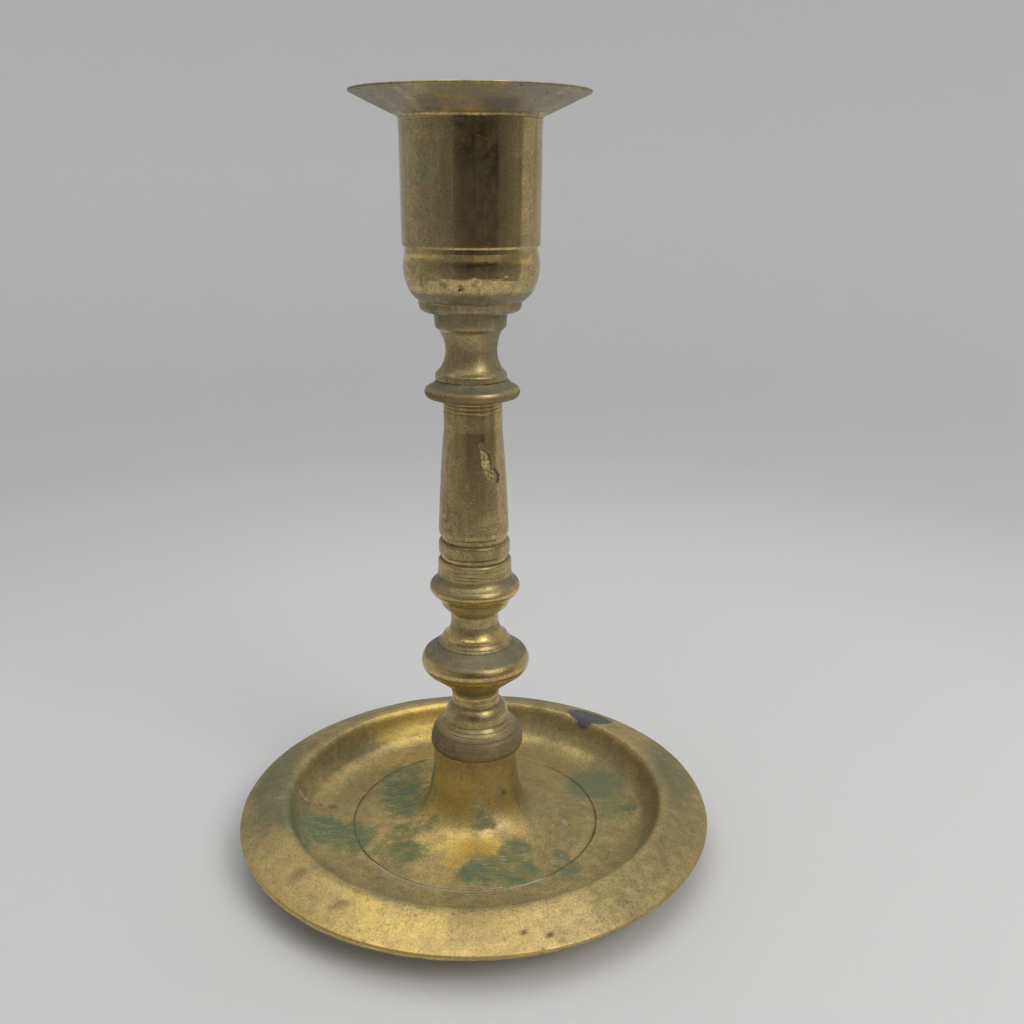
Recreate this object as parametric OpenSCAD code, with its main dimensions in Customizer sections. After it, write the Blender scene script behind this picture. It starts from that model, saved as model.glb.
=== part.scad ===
// Brass candlestick with a saucer base: turned pieces stacked on an iron tie rod,
// and a flared nozzle that lifts out of the socket. Millimetres, +Z up.
// The origin is the centre of the foot, on the table.

/* [Whole] */
// Height from the table to the rim of the nozzle; the stem takes up the change
total_h = 158.75; // [150:0.25:190]

/* [Socket] */
// Bore of the nozzle's sleeve, for a 22 mm candle
socket_bore_d = 22.8; // [19:0.1:22.8]
// Diameter of the nozzle's drip flange
flange_d = 45.7; // [40:0.1:60]
// Length of the sleeve below the flange's seat
sleeve_h = 19.4; // [10:0.1:20]
// Outside diameter of the cup
cup_d = 27.24; // [27:0.02:30]
// Height of the cup
cup_h = 23.2; // [22.5:0.05:35]

/* [Stem] */
// Diameter of the stem tube under the disc
stem_top_d = 12; // [11.4:0.1:13]
// Diameter of the stem tube at its foot
stem_foot_d = 14.7; // [13.8:0.1:16]
// Diameter of the disc above the stem
disc_d = 19.4; // [17:0.1:24]
// Diameter of the bead under the stem
bead_d = 19.1; // [17.6:0.1:24]
// Diameter of the main knop
knop_d = 23.3; // [19:0.1:30]
// Diameter of the drum on the base
drum_d = 20.4; // [19.4:0.1:26]
// Diameter of the narrow necks
neck_d = 10.2; // [8.6:0.1:10.6]

/* [Base] */
// Diameter over the lip
base_d = 104.4; // [98:0.2:130]
// Diameter of the crest between the lip and the well
crest_d = 84.8; // [82:0.2:88]
// Diameter of the incised circle around the trumpet
circle_d = 55; // [50:0.2:56]
// Diameter of the foot ring, at the middle of its face
foot_d = 68.4; // [66:0.2:70]

/* [Tie rod] */
// Diameter of the rod
rod_d = 4.8; // [3:0.1:5]
// Size of the nut across its flats
nut_af = 8; // [7.5:0.1:10]

/* [Hidden] */

// Smoothness of the turned surfaces, and points along a curve
facets = 120;
curve_n = 8;

// Height of each piece in the stack, between the faces it meets
trumpet_h = 22.5;
drum_h = 12.9;
knop_h = 19.2;
bead_h = 12.7;
ring_h = 4.6;
disc_h = 4.2;
spool_h = 15.8;
bowl_h = 10.25;
seat_gap = 0.05;
flange_h = 5.05;
stem_h = total_h - trumpet_h - drum_h - knop_h - bead_h - ring_h - disc_h - spool_h - bowl_h
         - cup_h - seat_gap - flange_h;

// Level of the lower face of each piece
drum_z = trumpet_h;
knop_z = drum_z + drum_h;
bead_z = knop_z + knop_h;
ring_z = bead_z + bead_h;
stem_z = ring_z + ring_h;
disc_z = stem_z + stem_h;
spool_z = disc_z + disc_h;
bowl_z = spool_z + spool_h;
cup_z = bowl_z + bowl_h;
nozzle_z = cup_z + cup_h + seat_gap;

// Radii
flange_r = flange_d / 2;
socket_r = socket_bore_d / 2;
cup_r = cup_d / 2;
cup_bore_r = 12.5;
sleeve_r = cup_bore_r - 0.1;
neck_r = neck_d / 2;
disc_r = disc_d / 2;
bead_r = bead_d / 2;
knop_r = knop_d / 2;
drum_r = drum_d / 2;
stem_top_r = stem_top_d / 2;
stem_foot_r = stem_foot_d / 2;
base_r = base_d / 2;
crest_r = crest_d / 2;
circle_r = circle_d / 2;
foot_r = foot_d / 2;
rod_r = rod_d / 2;

// Holes that the rod passes, and holes that stand for its thread
rod_hole_r = rod_r + 0.2;
thread_r = rod_r + 0.05;

// Inside of the stem tube, and the spigots that centre it
stem_bore_r = 4.7;
spigot_r = stem_bore_r - 0.1;
spigot_h = 3;

// Thickness of the trumpet's top, and of the washer and nut that clamp it
plate_t = 3.2;
washer_t = 1;
washer_r = 6;
nut_h = 4;
rod_end_h = 1;
thread_h = 5;

// Turned lines: how deep and half how wide each one is
line_depth = 0.12;
line_half = 0.16;

// Colours
brass = "#8d7a45";
rubbed_brass = "#a08a4a";
dull_brass = "#75673d";
iron = "#6d6a66";

// Points of a curve from a to c that leaves and arrives towards b
function bend(a, b, c) =
    [for (i = [0:curve_n]) let (t = i / curve_n) (1 - t) * (1 - t) * a + 2 * t * (1 - t) * b + t * t * c];

// Points of a fine line cut into a wall of radius r at height z
function line_cut(r, z) = [[r, z - line_half], [r - line_depth, z], [r, z + line_half]];

// The two points that close an outline with the rod's hole, from height top down to bottom
function rod_hole(top, bottom) = [[rod_hole_r, top], [rod_hole_r, bottom]];

// A piece turned from an outline of [radius, height] points, with its lower face at level z
module turned(outline, z = 0) {
    translate([0, 0, z]) rotate_extrude($fn = facets) polygon(outline);
}

// Upper surface of the base, from the trumpet's top out to the lip's edge
function base_top() = concat(
    bend([9.1, trumpet_h], [9, 18], [9.8, 14]),
    bend([9.8, 14], [10.4, 9.1], [12.9, 7.2]),
    bend([12.9, 7.2], [15.5, 5.34], [circle_r - 0.4, 3.85]),
    [[circle_r, 3.45]],
    bend([circle_r + 0.4, 3.8], [crest_r - 8.9, 2.9], [crest_r - 5.6, 4.1]),
    bend([crest_r - 5.6, 4.1], [crest_r - 2.3, 5.3], [crest_r - 1.4, 9.2]),
    bend([crest_r - 1.4, 9.2], [crest_r - 1, 10.95], [crest_r, 10.95]),
    bend([crest_r, 10.95], [crest_r + 2.2, 10.9], [base_r - 0.35, 7.75]),
    bend([base_r - 0.35, 7.75], [base_r + 0.2, 7.2], [base_r - 0.3, 6.65]));

// Lower surface of the base, from the lip's edge in to the trumpet's top plate
function base_under() = concat(
    bend([base_r - 0.3, 6.65], [crest_r + 2.6, 9.6], [crest_r + 1.2, 9.6]),
    bend([crest_r + 1.2, 9.6], [crest_r + 0.3, 9.5], [crest_r + 0.15, 8.6]),
    bend([crest_r + 0.15, 8.6], [crest_r - 0.8, 3.7], [crest_r - 4.8, 2.5]),
    [[foot_r + 1.5, 2], [foot_r + 1.2, 0], [foot_r - 1.2, 0], [foot_r - 1.5, 1.9]],
    bend([circle_r - 0.4, 2], [15.4, 3.4], [12, 5.9]),
    bend([12, 5.9], [8.5, 8], [8.1, 13.3]),
    [[7.6, trumpet_h - plate_t]]);

// Saucer with a well, a broad lip and a hollow trumpet in the middle, on a foot ring
module base_dish() {
    color(brass) turned(concat(base_top(), base_under(), rod_hole(trumpet_h - plate_t, trumpet_h)));
}

// Drum on the trumpet, with a round shoulder, a collar and a neck
module drum_knop() {
    collar_r = 6.95;
    outline = concat(
        bend([drum_r - 0.9, 0], [drum_r + 0.1, 0.4], [drum_r - 0.05, 1.7]),
        bend([drum_r - 0.1, 1.8], [drum_r - 0.2, 4.3], [drum_r - 1.8, 5.2]),
        bend([drum_r - 1.85, 5.25], [collar_r + 0.6, 5.9], [collar_r, 6.6]),
        bend([collar_r, 7], [collar_r - 0.2, 9.9], [neck_r + 0.15, 10.7]),
        [[neck_r, 11.5], [neck_r, drum_h]],
        rod_hole(drum_h, 0));
    color(dull_brass) turned(outline, drum_z);
}

// Main knop, with two turned lines below its nose, a step on top and a coved neck
module main_knop() {
    step_r = 7.13;
    outline = concat(
        [[neck_r, 0]],
        bend([neck_r + 0.05, 0.6], [neck_r + 0.7, 1.8], [neck_r + 2.65, 3.25]),
        bend([neck_r + 2.75, 3.4], [knop_r - 2.5, 4.4], [knop_r - 1.1, 5.5]),
        bend([knop_r - 0.95, 5.6], [knop_r + 0.85, 7.5], [knop_r - 0.67, 9.6]),
        bend([knop_r - 0.75, 9.7], [knop_r - 3.15, 11.2], [step_r, 13.1]),
        bend([step_r - 0.2, 13.6], [neck_r + 0.35, 14.25], [neck_r, 16.6]),
        bend([neck_r, 17.8], [neck_r, 18.8], [neck_r + 0.25, knop_h]),
        rod_hole(knop_h, 0));
    color(rubbed_brass) turned(outline, knop_z);
}

// Bead under the stem, with a plain band above it
module bead_knop() {
    band_r = 7.8;
    outline = concat(
        bend([neck_r + 0.25, 0], [neck_r + 1, 0.5], [neck_r + 1.9, 1.5]),
        bend([neck_r + 1.95, 1.6], [neck_r + 2.2, 2.6], [bead_r - 1.15, 3.7]),
        bend([bead_r - 1.05, 3.8], [bead_r + 0.85, 5.4], [bead_r - 0.55, 6.8]),
        bend([bead_r - 0.55, 6.8], [band_r + 0.2, 7.3], [band_r, 8.5]),
        [[band_r - 0.1, 11.65], [band_r - 0.35, 11.95], [band_r - 0.8, 12.05], [band_r - 0.8, bead_h]],
        rod_hole(bead_h, 0));
    color(brass) turned(outline, bead_z);
}

// Ring between two grooves, with a spigot up into the stem tube
module stem_ring() {
    band_r = 7.52;
    outline = concat(
        [[band_r - 0.52, 0], [band_r - 0.52, 0.45], [band_r - 0.12, 0.6], [band_r, 0.9]],
        [[band_r - 0.02, 2.9], [band_r - 0.17, 3.25], [band_r - 0.77, 3.45], [band_r - 0.77, ring_h]],
        [[spigot_r, ring_h], [spigot_r, ring_h + spigot_h]],
        rod_hole(ring_h + spigot_h, 0));
    color(brass) turned(outline, ring_z);
}

// Hollow stem: swells slowly below a straight neck, with fine lines under the disc
module stem_tube() {
    neck_from = 0.796;
    swell_at = 0.549;
    line_depths = [2, 1.15, 0.4];
    outline = concat(
        bend([stem_foot_r - 0.45, 0], [stem_foot_r, 0], [stem_foot_r, 1.2]),
        bend([stem_foot_r, 1.2], [stem_foot_r - 0.6, swell_at * stem_h], [stem_top_r, neck_from * stem_h]),
        [for (d = line_depths) each line_cut(stem_top_r, stem_h - d)],
        [[stem_top_r, stem_h], [stem_bore_r, stem_h], [stem_bore_r, 0]]);
    color(brass) turned(outline, stem_z);
}

// Disc above the stem, with a spigot down into the tube
module disc_knop() {
    outline = concat(
        [[spigot_r, -spigot_h], [spigot_r, 0]],
        bend([stem_top_r + 0.15, 0], [disc_r - 1.6, 0.35], [disc_r - 0.45, 0.85]),
        bend([disc_r - 0.4, 0.9], [disc_r + 0.25, 1.6], [disc_r - 0.25, 2.55]),
        bend([disc_r - 0.3, 2.65], [disc_r - 1.5, 3], [7.25, disc_h]),
        rod_hole(disc_h, -spigot_h));
    color(rubbed_brass) turned(outline, disc_z);
}

// Neck below the bowl: bead, waist and collar, under a flange that carries the bowl
module neck_spool() {
    collar_r = 7.3;
    ring_r = 10.15;
    waist_r = neck_r + 0.08;
    outline = concat(
        [[collar_r - 0.2, 0], [collar_r - 0.08, 0.2]],
        bend([collar_r - 0.08, 0.9], [collar_r - 0.1, 1.4], [collar_r - 0.35, 1.55]),
        bend([collar_r - 0.45, 1.65], [waist_r, 3.2], [waist_r, 6.2]),
        bend([waist_r, 6.2], [waist_r + 0.2, 8.4], [collar_r - 1.05, 9.8]),
        [[collar_r - 0.3, 10.5], [collar_r - 0.15, 11], [collar_r, 13.2]],
        bend([collar_r + 0.1, 13.35], [ring_r - 0.3, 13.4], [ring_r, 14.6]),
        [[ring_r + 0.15, spool_h]],
        rod_hole(spool_h, 0));
    color(dull_brass) turned(outline, spool_z);
}

// Bowl under the cup: the candle stands on its floor, and the rod screws in from below
module cup_bowl() {
    belly_r = cup_r - 0.2;
    lip_r = cup_bore_r - 0.1;
    inner_r = 11.6;
    floor_z = 6.6;
    outline = concat(
        [[thread_r, 0]],
        bend([10.5, 0], [belly_r - 0.2, 2.1], [belly_r, 6.2]),
        bend([belly_r, 6.2], [belly_r + 0.05, 8.1], [belly_r - 0.4, 9.4]),
        [[belly_r - 0.4, bowl_h], [lip_r, bowl_h], [lip_r, bowl_h + 2], [inner_r, bowl_h + 2]],
        bend([inner_r, 8.6], [inner_r, floor_z], [inner_r - 2, floor_z]),
        [[0, floor_z], [0, thread_h + 0.2], [thread_r, thread_h + 0.2]]);
    color(rubbed_brass) turned(outline, bowl_z);
}

// Plain tube of the socket, flared a little where the nozzle seats
module socket_cup() {
    outline = concat(
        [[cup_bore_r, 0], [cup_r - 0.4, 0], [cup_r - 0.1, 0.7]],
        bend([cup_r, cup_h - 5], [cup_r, cup_h - 2], [cup_r + 0.12, cup_h]),
        [[cup_bore_r, cup_h]]);
    color(brass) turned(outline, cup_z);
}

// Lift-out nozzle: a sleeve for the candle under a flared drip flange
module nozzle() {
    outline = concat(
        [[socket_r, -sleeve_h], [sleeve_r, -sleeve_h], [sleeve_r, 0]],
        bend([cup_r + 0.12, 0], [cup_r + 0.2, 0.5], [cup_r + 0.88, 0.68]),
        bend([flange_r - 0.55, flange_h - 0.7], [flange_r, flange_h - 0.42], [flange_r, flange_h - 0.15]),
        [[flange_r - 0.15, flange_h], [flange_r - 0.7, flange_h], [flange_r - 1.25, flange_h - 0.2]],
        bend([socket_r + 1.5, 1.05], [socket_r, 0.45], [socket_r, -0.9]));
    color(brass) turned(outline, nozzle_z);
}

// Iron rod that draws the stack together
module tie_rod() {
    rod_z = trumpet_h - plate_t - washer_t - nut_h - rod_end_h;
    color(iron) translate([0, 0, rod_z]) cylinder(r = rod_r, h = bowl_z + thread_h - rod_z, $fn = facets);
}

// Washer inside the trumpet
module rod_washer() {
    outline = [[rod_hole_r, 0], [washer_r, 0], [washer_r, washer_t], [rod_hole_r, washer_t]];
    color(iron) turned(outline, trumpet_h - plate_t - washer_t);
}

// Hexagon nut inside the trumpet
module rod_nut() {
    color(iron) translate([0, 0, trumpet_h - plate_t - washer_t - nut_h]) difference() {
        cylinder(r = nut_af / 2 / cos(30), h = nut_h, $fn = 6);
        translate([0, 0, -1]) cylinder(r = thread_r, h = nut_h + 2, $fn = facets);
    }
}

base_dish();
drum_knop();
main_knop();
bead_knop();
stem_ring();
stem_tube();
disc_knop();
neck_spool();
cup_bowl();
socket_cup();
nozzle();
tie_rod();
rod_washer();
rod_nut();
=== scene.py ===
"""Looks of the brass candlestick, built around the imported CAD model. Metres, +Z up, origin on the table."""
import math

import bpy
import numpy as np
from mathutils import Euler, Matrix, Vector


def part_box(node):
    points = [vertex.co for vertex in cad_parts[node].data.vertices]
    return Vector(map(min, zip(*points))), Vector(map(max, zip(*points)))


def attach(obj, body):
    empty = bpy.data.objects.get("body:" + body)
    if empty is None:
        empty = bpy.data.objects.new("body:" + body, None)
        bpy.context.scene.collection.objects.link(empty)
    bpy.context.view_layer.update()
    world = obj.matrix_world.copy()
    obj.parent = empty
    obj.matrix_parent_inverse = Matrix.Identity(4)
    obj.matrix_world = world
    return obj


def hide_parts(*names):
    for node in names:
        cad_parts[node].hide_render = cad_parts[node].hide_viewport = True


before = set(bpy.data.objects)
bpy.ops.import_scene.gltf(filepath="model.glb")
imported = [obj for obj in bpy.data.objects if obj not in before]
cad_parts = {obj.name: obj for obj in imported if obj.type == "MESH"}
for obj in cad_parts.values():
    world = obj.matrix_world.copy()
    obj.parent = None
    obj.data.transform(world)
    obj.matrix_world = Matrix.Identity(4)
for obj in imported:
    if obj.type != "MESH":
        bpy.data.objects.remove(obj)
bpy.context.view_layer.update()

MM = 0.001
TAU = 2 * math.pi

# The turned pieces are worked out in mm. Runs nearer the axis than HIDDEN_R are cut only to COARSE_STEP.
HIDDEN_R = 3.5
COARSE_STEP = 3
# Corners that turn by more degrees than this are rounded, over at most this share of the runs beside them.
SOFTENED_TURN = 15
SHARE_OF_RUN = 0.42
# Edges rub bright and grooves hold grime by the turn, in radians, that the outline makes over EDGE_REACH.
EDGE_REACH = 0.17
EDGE_TURNS = (0.45, 1.4)
GROOVE_TURNS = (0.25, 1.0)
# Dents and film fade in between these radii, so that the rod holes stay true and clean.
BORE_TO_WALL = (3.5, 6.5)
# Film settles on faces that look up: it sets in as their normal's Z goes from the one to the other.
FACES_UP = (0.5, 0.85)
# Large odd numbers that scatter the noise's cells.
HASH_FACTORS = (73856093, 19349663, 83492791, 2654435)
HASH_MIX = 1274126177


# ---------------------------------------------------------------- outlines

def bend(a, b, c, count=14):
    """Points of a curve from a to c that leaves and arrives towards b."""
    points = []
    for i in range(count + 1):
        t = i / count
        shares = ((1 - t) ** 2, 2 * t * (1 - t), t * t)
        points.append(tuple(shares[0] * p + shares[1] * q + shares[2] * s for p, q, s in zip(a, b, c)))
    return points


def lined(points, heights, depth=0.1, half=0.15):
    """A rising outline with a fine line turned into it at each height."""
    rise = np.array(points, float)
    along = np.concatenate([[0], np.cumsum(np.hypot(*np.diff(rise, axis=0).T))])

    def at(s):
        return np.array([np.interp(s, along, rise[:, 0]), np.interp(s, along, rise[:, 1])])

    lines = [np.interp(height, rise[:, 1], along) for height in heights]
    stops = [s for s in along if all(abs(s - line) > half for line in lines)]
    stops += [line + shift for line in lines for shift in (-half, 0, half)]
    cut = []
    for s in sorted(stops):
        here = at(s)
        if s in lines:
            ahead = at(s + 0.05) - at(s - 0.05)
            here += depth * np.array([-ahead[1], ahead[0]]) / np.hypot(*ahead)
        cut.append(tuple(here))
    return cut


def tidy(points):
    """The points without repeats, counter-clockwise, so that the metal is on the left of the walk."""
    kept = [p for i, p in enumerate(points) if math.dist(p, points[i - 1]) > 1e-4]
    area = sum(a[0] * b[1] - b[0] * a[1] for a, b in zip(kept, kept[1:] + kept[:1]))
    return kept if area > 0 else kept[::-1]


def soften(points, radius):
    """Rounds every corner that turns by more than SOFTENED_TURN degrees, as handling rounds real edges."""
    rounded = []
    for i, here in enumerate(points):
        before = points[i - 1]
        after = points[(i + 1) % len(points)]
        if here[0] < 1e-6:
            rounded.append(here)
            continue
        back = math.dist(here, before)
        ahead = math.dist(here, after)
        way_in = math.atan2(here[1] - before[1], here[0] - before[0])
        way_out = math.atan2(after[1] - here[1], after[0] - here[0])
        turn = abs((way_out - way_in + math.pi) % TAU - math.pi)
        if turn < math.radians(SOFTENED_TURN):
            rounded.append(here)
            continue
        cut = min(radius, SHARE_OF_RUN * back, SHARE_OF_RUN * ahead)
        start = tuple(h + (b - h) * cut / back for h, b in zip(here, before))
        end = tuple(h + (a - h) * cut / ahead for h, a in zip(here, after))
        rounded += bend(start, here, end, 4)
    return rounded


def divide(points, step, bore):
    """Cuts runs longer than step into equal lengths, so that dents and marks have vertices to move.

    Runs nearer the axis than bore are out of sight and keep coarse.
    """
    cut = []
    for here, after in zip(points, points[1:] + points[:1]):
        hidden = max(here[0], after[0]) < bore
        pieces = max(1, math.ceil(math.dist(here, after) / (COARSE_STEP if hidden else step)))
        for i in range(pieces):
            t = i / pieces
            cut.append(tuple(h + (a - h) * t for h, a in zip(here, after)))
    return cut


# ---------------------------------------------------------------- noise and marks on vertices

def lattice(cells, seed):
    """A random value from -1 to 1 for each whole-numbered cell corner."""
    p, q, r, s = HASH_FACTORS
    n = cells[..., 0] * p ^ cells[..., 1] * q ^ cells[..., 2] * r ^ seed * s
    n = (n ^ (n >> 13)) * HASH_MIX & 0x7FFFFFFF
    n = (n ^ (n >> 16)) & 0xFFFF
    return n / 32767.5 - 1


def noise(points, size, seed, octaves=3):
    """Smooth noise from about -1 to 1 over points in millimetres, with features of about size."""
    total = np.zeros(len(points))
    weight = 1.0
    for octave in range(octaves):
        at = points * 2 ** octave / size
        cell = np.floor(at).astype(np.int64)
        part = at - cell
        part = part * part * (3 - 2 * part)
        value = np.zeros(len(points))
        for corner in np.ndindex(2, 2, 2):
            share = np.prod(np.where(corner, part, 1 - part), axis=1)
            value += share * lattice(cell + corner, seed + octave)
        total += weight * value
        weight /= 2
    return total


def smooth(value, low, high):
    """0 below low, 1 above high, and a soft step between."""
    t = np.clip((value - low) / (high - low), 0, 1)
    return t * t * (3 - 2 * t)


def patches(points, spots):
    """The strongest of some soft oval spots.

    Each is (x, y, half length, half width, turn in degrees, amount), in mm.
    """
    found = np.zeros(len(points))
    for x, y, length, width, turn, amount in spots:
        c, s = math.cos(math.radians(turn)), math.sin(math.radians(turn))
        u = (points[:, 0] - x) * c + (points[:, 1] - y) * s
        v = (points[:, 1] - y) * c - (points[:, 0] - x) * s
        reach = np.hypot(u / length, v / width)
        found = np.maximum(found, amount * smooth(-reach, -1.35, -0.55))
    return found


def bearing(points):
    """Angle round the axis in degrees: 0 at the front, which is -Y, and 90 at +X."""
    return np.degrees(np.arctan2(points[:, 0], -points[:, 1]))


def wall_spots(points, spots):
    """The strongest of some soft round spots on an upright wall.

    Each is (bearing, height in mm, size in mm, amount).
    """
    radius = np.hypot(points[:, 0], points[:, 1])
    found = np.zeros(len(points))
    for angle, height, size, amount in spots:
        across = np.radians(around_gap(bearing(points), angle)) * radius
        reach = np.hypot(across, points[:, 2] - height) / size
        found = np.maximum(found, amount * smooth(-reach, -1.4, -0.3))
    return found


def around_gap(angle, centre):
    """Degrees between two bearings, always 0 to 180."""
    return np.abs((angle - centre + 180) % 360 - 180)


# ---------------------------------------------------------------- turned pieces

def corner_turn(outline, reach):
    """How sharply the outline turns at each point, in radians over reach.

    It is above 0 on an edge and below 0 in a groove.
    """
    loop = np.array(outline + outline[:1])
    lengths = np.hypot(*np.diff(loop, axis=0).T)
    along = np.concatenate([[0], np.cumsum(lengths)])
    total = along[-1]

    def at(s):
        s = s % total
        return np.stack([np.interp(s, along, loop[:, 0]), np.interp(s, along, loop[:, 1])], 1)

    here = along[:-1]
    ahead = at(here + reach) - at(here)
    back = at(here) - at(here - reach)
    turn = np.arctan2(ahead[:, 1], ahead[:, 0]) - np.arctan2(back[:, 1], back[:, 0])
    return (turn + math.pi) % TAU - math.pi


def lathe(name, body, material, outline, level, around=256, step=0.27, edge=0.08, lean=0.0, film=0.4,
          bore=HIDDEN_R, shape=None, paint=None):
    """A closed turned piece that replaces the CAD node of the same name.

    outline is [radius, height] in mm above level. lean moves the outer surface sideways, since the real
    pieces don't all run true. film is how much film lies on the upward faces. Runs nearer the
    axis than bore are out of sight. shape(points, normals) gives how far each vertex stands proud, and
    paint(points, normals) gives extra marks by name.
    """
    walk = divide(soften(tidy(outline), edge), step, bore)
    turn = np.repeat(corner_turn(walk, EDGE_REACH), around)
    profile = np.array(walk)
    ahead = np.roll(profile, -1, 0) - np.roll(profile, 1, 0)
    ahead /= np.maximum(np.hypot(*ahead.T), 1e-9)[:, None]
    angle = np.arange(around) * TAU / around
    c, s = np.cos(angle), np.sin(angle)
    radius = profile[:, 0][:, None]
    height = np.repeat(profile[:, 1][:, None] + level, around, 1)
    points = np.stack([radius * c, radius * s, height], 2).reshape(-1, 3)
    normals = np.stack([ahead[:, 1][:, None] * c, ahead[:, 1][:, None] * s,
                        np.repeat(-ahead[:, 0][:, None], around, 1)], 2).reshape(-1, 3)
    outer = np.repeat(smooth(profile[:, 0], *BORE_TO_WALL), around)
    place = points.copy()
    if shape:
        place += normals * (shape(points, normals) * outer)[:, None]
    place[:, 0] += lean * outer

    rings = len(walk)
    index = np.arange(rings * around).reshape(rings, around)
    for ring in np.flatnonzero(profile[:, 0] < 1e-6):
        index[ring] = index[ring][0]
    up = np.roll(index, -1, 0)
    quads = np.stack([index, np.roll(index, -1, 1), np.roll(up, -1, 1), up], 2).reshape(-1, 4)
    faces = []
    for quad in quads.tolist():
        corners = list(dict.fromkeys(quad))
        if len(corners) > 2:
            faces.append(corners)
    used, renumbered = np.unique(np.concatenate([np.array(f) for f in faces]), return_inverse=True)
    ends = np.cumsum([len(f) for f in faces])[:-1]
    faces = [f.tolist() for f in np.split(renumbered, ends)]

    mesh = bpy.data.meshes.new(name)
    mesh.from_pydata((place[used] * MM).tolist(), [], faces)
    mesh.shade_smooth()
    marks = {
        "worn": 0.8 * smooth(turn, *EDGE_TURNS),
        "grime": smooth(-turn, *GROOVE_TURNS),
        "film": film * smooth(normals[:, 2], *FACES_UP) * outer,
        "green": np.zeros(len(points)),
        "dark": np.zeros(len(points)),
    }
    for mark, value in (paint(points, normals) if paint else {}).items():
        if mark == "unworn":
            marks["worn"] *= 1 - value
        else:
            marks[mark] = np.clip(np.maximum(marks.get(mark, 0), value), 0, 1)
    for mark, value in marks.items():
        layer = mesh.attributes.new(mark, "FLOAT", "POINT")
        layer.data.foreach_set("value", value[used].astype(np.float32))
    piece = bpy.data.objects.new("turned_" + name, mesh)
    bpy.context.scene.collection.objects.link(piece)
    mesh.materials.append(material)
    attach(piece, body)
    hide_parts(name)
    return piece


# ---------------------------------------------------------------- shader helper

class Graph:
    """Short ways to add nodes to one material."""

    def __init__(self, name):
        self.material = bpy.data.materials.new(name)
        self.material.use_nodes = True
        self.tree = self.material.node_tree
        self.shader = self.tree.nodes["Principled BSDF"]
        self.place = self.add("ShaderNodeTexCoord").outputs["Object"]

    def add(self, kind, **settings):
        node = self.tree.nodes.new(kind)
        for key, value in settings.items():
            setattr(node, key, value)
        return node

    def put(self, socket, value):
        if isinstance(value, bpy.types.NodeSocket):
            self.tree.links.new(value, socket)
        else:
            socket.default_value = value

    def math(self, operation, *values, clamp=False):
        node = self.add("ShaderNodeMath", operation=operation, use_clamp=clamp)
        for socket, value in zip(node.inputs, values):
            self.put(socket, value)
        return node.outputs[0]

    def times(self, *values):
        product = values[0]
        for value in values[1:]:
            product = self.math("MULTIPLY", product, value)
        return product

    def plus(self, *values):
        total = values[0]
        for value in values[1:]:
            total = self.math("ADD", total, value)
        return total

    def clamp(self, value):
        return self.math("ADD", value, 0.0, clamp=True)

    def step(self, value, low, high):
        node = self.add("ShaderNodeMapRange", interpolation_type="SMOOTHSTEP")
        self.put(node.inputs["Value"], value)
        node.inputs["From Min"].default_value = low
        node.inputs["From Max"].default_value = high
        return node.outputs["Result"]

    def split(self, vector):
        node = self.add("ShaderNodeSeparateXYZ")
        self.put(node.inputs[0], vector)
        return node.outputs

    def join(self, x, y, z):
        node = self.add("ShaderNodeCombineXYZ")
        for socket, value in zip(node.inputs, (x, y, z)):
            self.put(socket, value)
        return node.outputs[0]

    def stretch(self, vector, scale, turn=(0, 0, 0)):
        node = self.add("ShaderNodeMapping")
        self.put(node.inputs["Vector"], vector)
        node.inputs["Scale"].default_value = scale
        node.inputs["Rotation"].default_value = [math.radians(a) for a in turn]
        return node.outputs[0]

    def noise(self, vector, scale, detail=3.0, rough=0.55, distort=0.0):
        node = self.add("ShaderNodeTexNoise")
        self.put(node.inputs["Vector"], vector)
        node.inputs["Scale"].default_value = scale
        node.inputs["Detail"].default_value = detail
        node.inputs["Roughness"].default_value = rough
        node.inputs["Distortion"].default_value = distort
        return node.outputs[0]

    def cells(self, vector, scale):
        """Distance to the nearest cell's centre, and a random number for the cell."""
        node = self.add("ShaderNodeTexVoronoi")
        self.put(node.inputs["Vector"], vector)
        node.inputs["Scale"].default_value = scale
        return node.outputs["Distance"], self.split(node.outputs["Color"])[0]

    def mark(self, name):
        return self.add("ShaderNodeAttribute", attribute_name=name).outputs["Fac"]

    def mix(self, share, a, b, blend="MIX"):
        node = self.add("ShaderNodeMix", data_type="RGBA", blend_type=blend)
        colours = [s for s in node.inputs if s.type == "RGBA"]
        self.put(node.inputs[0], share)
        for socket, value in zip(colours, (a, b)):
            self.put(socket, (*value, 1) if isinstance(value, tuple) else value)
        return [s for s in node.outputs if s.type == "RGBA"][0]

    def ramp(self, value, *stops):
        node = self.add("ShaderNodeValToRGB")
        self.put(node.inputs[0], value)
        line = node.color_ramp
        while len(line.elements) < len(stops):
            line.elements.new(1.0)
        for element, (at, colour) in zip(line.elements, stops):
            element.position = at
            element.color = (*colour, 1)
        return node.outputs[0]

    def bump(self, height, distance, strength=1.0, under=None):
        node = self.add("ShaderNodeBump")
        node.inputs["Strength"].default_value = strength
        node.inputs["Distance"].default_value = distance
        self.put(node.inputs["Height"], height)
        if under is not None:
            self.put(node.inputs["Normal"], under)
        return node.outputs[0]


# ---------------------------------------------------------------- materials

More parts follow.
